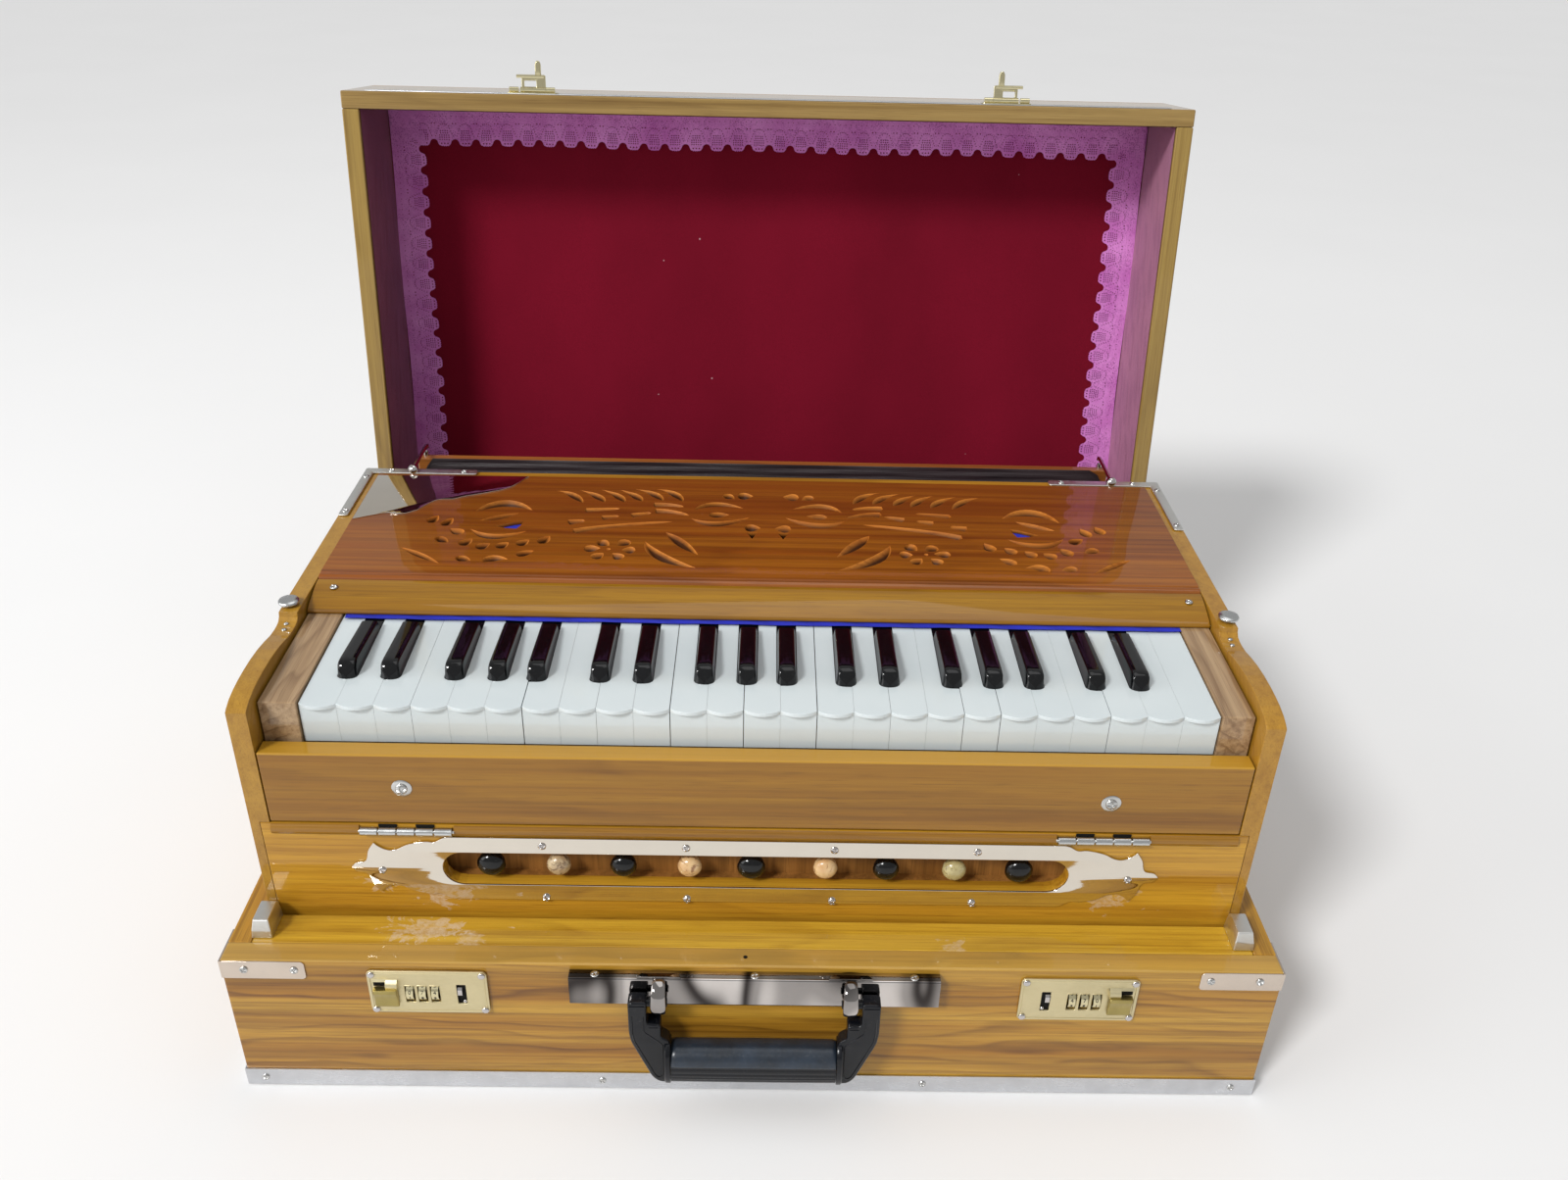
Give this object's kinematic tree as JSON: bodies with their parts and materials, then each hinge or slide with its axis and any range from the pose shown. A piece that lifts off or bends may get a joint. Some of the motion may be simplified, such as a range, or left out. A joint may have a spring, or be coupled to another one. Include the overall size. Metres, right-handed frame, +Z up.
{
  "type": "harmonium",
  "caption": "Portable suitcase harmonium, lid open: keyboard, row of pull stops, hand-pumped rear bellows, carved top cover, carrying handle and brass combination locks.",
  "frame": {"origin": "centre of the underside of the case's base, on the surface it stands on", "axes": "+X to the player's right (towards the treble keys), +Y away from the player (towards the lid hinge and the bellows), +Z up"},
  "size_m": [0.6422, 0.5808, 0.5436],
  "materials": {
    "teak": "clear gloss lacquer",
    "dark_teak": "clear gloss lacquer",
    "pale_wood": "bare",
    "chrome": "polished",
    "mirror_plate": "polished",
    "brass": "polished",
    "black_plastic": "satin",
    "key_white": "gloss",
    "key_black": "gloss",
    "bellows_cloth": "coated cloth",
    "knob_bone": "gloss",
    "knob_ivory": "gloss",
    "knob_black": "gloss"
  },
  "bodies": {
    "case_base": {"base_floor": "dark_teak", "base_front_wall": "teak", "base_rear_wall": "teak", "base_left_wall": "teak", "base_right_wall": "teak", "base_ledge": "teak", "base_trim_strip": "chrome", "handle_channel": "chrome", "lock_plate_left": "brass", "lock_plate_right": "brass", "lid_hinge_base_leaf": "chrome"},
    "handle": {"handle_frame": "black_plastic", "handle_grip": "black_plastic"},
    "lock_button_left": {"lock_button_left": "brass"},
    "lock_button_right": {"lock_button_right": "brass"},
    "lock_dials_left": {"lock_dials_left": "brass"},
    "lock_dials_right": {"lock_dials_right": "brass"},
    "body_catch_left": {"body_catch_left": "chrome"},
    "body_catch_right": {"body_catch_right": "chrome"},
    "lid": {"lid_frame": "teak", "lid_panel": "teak", "lid_hinge_lid_leaf": "chrome"},
    "lid_hasp_left": {"lid_hasp_left": "brass"},
    "lid_hasp_right": {"lid_hasp_right": "brass"},
    "instrument": {"cheek_left": "teak", "cheek_right": "teak", "stop_panel": "teak", "stop_plate": "mirror_plate", "wind_chest": "pale_wood", "reed_board": "pale_wood", "key_bed": "pale_wood", "key_block_left": "dark_teak", "key_block_right": "dark_teak", "key_rail": "teak", "top_cover": "teak", "rear_board": "teak", "corner_brace_left": "chrome", "corner_brace_right": "chrome", "bellows_folds": "bellows_cloth"},
    "front_flap": {"front_flap": "teak"},
    "bellows_board": {"bellows_board": "teak"},
    "bellows_hook_left": {"bellows_hook_left": "chrome"},
    "bellows_hook_right": {"bellows_hook_right": "chrome"},
    "stop_knob_1": {"stop_knob_1": "knob_black"},
    "stop_knob_2": {"stop_knob_2": "knob_bone"},
    "stop_knob_3": {"stop_knob_3": "knob_black"},
    "stop_knob_4": {"stop_knob_4": "knob_ivory"},
    "stop_knob_5": {"stop_knob_5": "knob_black"},
    "stop_knob_6": {"stop_knob_6": "knob_ivory"},
    "stop_knob_7": {"stop_knob_7": "knob_black"},
    "stop_knob_8": {"stop_knob_8": "knob_ivory"},
    "stop_knob_9": {"stop_knob_9": "knob_black"},
    "white_keys_octave_1": {"white_keys_octave_1": "key_white"},
    "white_keys_octave_2": {"white_keys_octave_2": "key_white"},
    "white_keys_octave_3": {"white_keys_octave_3": "key_white"},
    "white_keys_top": {"white_keys_top": "key_white"},
    "black_keys_octave_1": {"black_keys_octave_1": "key_black"},
    "black_keys_octave_2": {"black_keys_octave_2": "key_black"},
    "black_keys_octave_3": {"black_keys_octave_3": "key_black"},
    "black_keys_top": {"black_keys_top": "key_black"}
  },
  "joints": [
    {"name": "lid_hinge", "type": "hinge", "parent": "case_base", "child": "lid", "pos_m": [0, 0.2083, 0.1088], "axis": [1, 0, 0], "range_deg": [0, 97.3]},
    {"name": "body_lift", "type": "slide", "parent": "case_base", "child": "instrument", "axis": [0, 0, 1], "range_m": [-0.0875, 0]},
    {"name": "handle_swing", "type": "hinge", "parent": "case_base", "child": "handle", "pos_m": [0, -0.2199, 0.091], "axis": [-1, 0, 0], "range_deg": [0, 150]},
    {"name": "lock_button_slide_left", "type": "slide", "parent": "case_base", "child": "lock_button_left", "axis": [1, 0, 0], "range_m": [-0.006, 0], "stiffness_N_per_m": 200},
    {"name": "lock_dials_turn_left", "type": "hinge", "parent": "case_base", "child": "lock_dials_left", "pos_m": [-0.2, -0.2029, 0.0832], "axis": [1, 0, 0], "continuous": true},
    {"name": "body_catch_slide_left", "type": "slide", "parent": "case_base", "child": "body_catch_left", "axis": [0, 1, 0], "range_m": [-0.004, 0]},
    {"name": "lid_hasp_swing_left", "type": "hinge", "parent": "lid", "child": "lid_hasp_left", "pos_m": [-0.1777, 0.26597, 0.52283], "axis": [1, 0, 0], "range_deg": [0, 90]},
    {"name": "lock_button_slide_right", "type": "slide", "parent": "case_base", "child": "lock_button_right", "axis": [-1, 0, 0], "range_m": [-0.006, 0], "stiffness_N_per_m": 200},
    {"name": "lock_dials_turn_right", "type": "hinge", "parent": "case_base", "child": "lock_dials_right", "pos_m": [0.2, -0.2029, 0.0832], "axis": [1, 0, 0], "continuous": true},
    {"name": "body_catch_slide_right", "type": "slide", "parent": "case_base", "child": "body_catch_right", "axis": [0, 1, 0], "range_m": [-0.004, 0]},
    {"name": "lid_hasp_swing_right", "type": "hinge", "parent": "lid", "child": "lid_hasp_right", "pos_m": [0.1777, 0.26597, 0.52283], "axis": [1, 0, 0], "range_deg": [0, 90]},
    {"name": "stop_pull_1", "type": "slide", "parent": "instrument", "child": "stop_knob_1", "axis": [0, 1, 0], "range_m": [-0.02, 0]},
    {"name": "stop_pull_2", "type": "slide", "parent": "instrument", "child": "stop_knob_2", "axis": [0, 1, 0], "range_m": [-0.02, 0]},
    {"name": "stop_pull_3", "type": "slide", "parent": "instrument", "child": "stop_knob_3", "axis": [0, 1, 0], "range_m": [-0.02, 0]},
    {"name": "stop_pull_4", "type": "slide", "parent": "instrument", "child": "stop_knob_4", "axis": [0, 1, 0], "range_m": [-0.02, 0]},
    {"name": "stop_pull_5", "type": "slide", "parent": "instrument", "child": "stop_knob_5", "axis": [0, 1, 0], "range_m": [-0.02, 0]},
    {"name": "stop_pull_6", "type": "slide", "parent": "instrument", "child": "stop_knob_6", "axis": [0, 1, 0], "range_m": [-0.02, 0]},
    {"name": "stop_pull_7", "type": "slide", "parent": "instrument", "child": "stop_knob_7", "axis": [0, 1, 0], "range_m": [-0.02, 0]},
    {"name": "stop_pull_8", "type": "slide", "parent": "instrument", "child": "stop_knob_8", "axis": [0, 1, 0], "range_m": [-0.02, 0]},
    {"name": "stop_pull_9", "type": "slide", "parent": "instrument", "child": "stop_knob_9", "axis": [0, 1, 0], "range_m": [-0.02, 0]},
    {"name": "front_flap_hinge", "type": "hinge", "parent": "instrument", "child": "front_flap", "pos_m": [0, -0.1663, 0.1748], "axis": [-1, 0, 0], "range_deg": [-90, 0]},
    {"name": "bellows_hinge", "type": "hinge", "parent": "instrument", "child": "bellows_board", "pos_m": [0, 0.1757, 0.125], "axis": [1, 0, 0], "range_deg": [-22, 0], "deforming": ["bellows_folds"]},
    {"name": "bellows_hook_turn_left", "type": "hinge", "parent": "instrument", "child": "bellows_hook_left", "pos_m": [-0.266, 0.139, 0.269], "axis": [0, 0, -1], "range_deg": [-60, 0]},
    {"name": "bellows_hook_turn_right", "type": "hinge", "parent": "instrument", "child": "bellows_hook_right", "pos_m": [0.266, 0.139, 0.269], "axis": [0, 0, 1], "range_deg": [-60, 0]},
    {"name": "white_keys_octave_1_press", "type": "hinge", "parent": "instrument", "child": "white_keys_octave_1", "pos_m": [0, -0.0265, 0.248], "axis": [-1, 0, 0], "range_deg": [-4, 0], "stiffness_Nm_per_rad": 40},
    {"name": "white_keys_octave_2_press", "type": "hinge", "parent": "instrument", "child": "white_keys_octave_2", "pos_m": [0, -0.0265, 0.248], "axis": [-1, 0, 0], "range_deg": [-4, 0], "stiffness_Nm_per_rad": 40},
    {"name": "white_keys_octave_3_press", "type": "hinge", "parent": "instrument", "child": "white_keys_octave_3", "pos_m": [0, -0.0265, 0.248], "axis": [-1, 0, 0], "range_deg": [-4, 0], "stiffness_Nm_per_rad": 40},
    {"name": "white_keys_top_press", "type": "hinge", "parent": "instrument", "child": "white_keys_top", "pos_m": [0, -0.0265, 0.248], "axis": [-1, 0, 0], "range_deg": [-4, 0], "stiffness_Nm_per_rad": 40},
    {"name": "black_keys_octave_1_press", "type": "hinge", "parent": "instrument", "child": "black_keys_octave_1", "pos_m": [0, -0.0265, 0.248], "axis": [-1, 0, 0], "range_deg": [-4, 0], "stiffness_Nm_per_rad": 40},
    {"name": "black_keys_octave_2_press", "type": "hinge", "parent": "instrument", "child": "black_keys_octave_2", "pos_m": [0, -0.0265, 0.248], "axis": [-1, 0, 0], "range_deg": [-4, 0], "stiffness_Nm_per_rad": 40},
    {"name": "black_keys_octave_3_press", "type": "hinge", "parent": "instrument", "child": "black_keys_octave_3", "pos_m": [0, -0.0265, 0.248], "axis": [-1, 0, 0], "range_deg": [-4, 0], "stiffness_Nm_per_rad": 40},
    {"name": "black_keys_top_press", "type": "hinge", "parent": "instrument", "child": "black_keys_top", "pos_m": [0, -0.0265, 0.248], "axis": [-1, 0, 0], "range_deg": [-4, 0], "stiffness_Nm_per_rad": 40}
  ],
  "couplings": [
    {"joint": "body_lift", "follows": "lid_hinge", "m_per_rad": -0.05123}
  ]
}
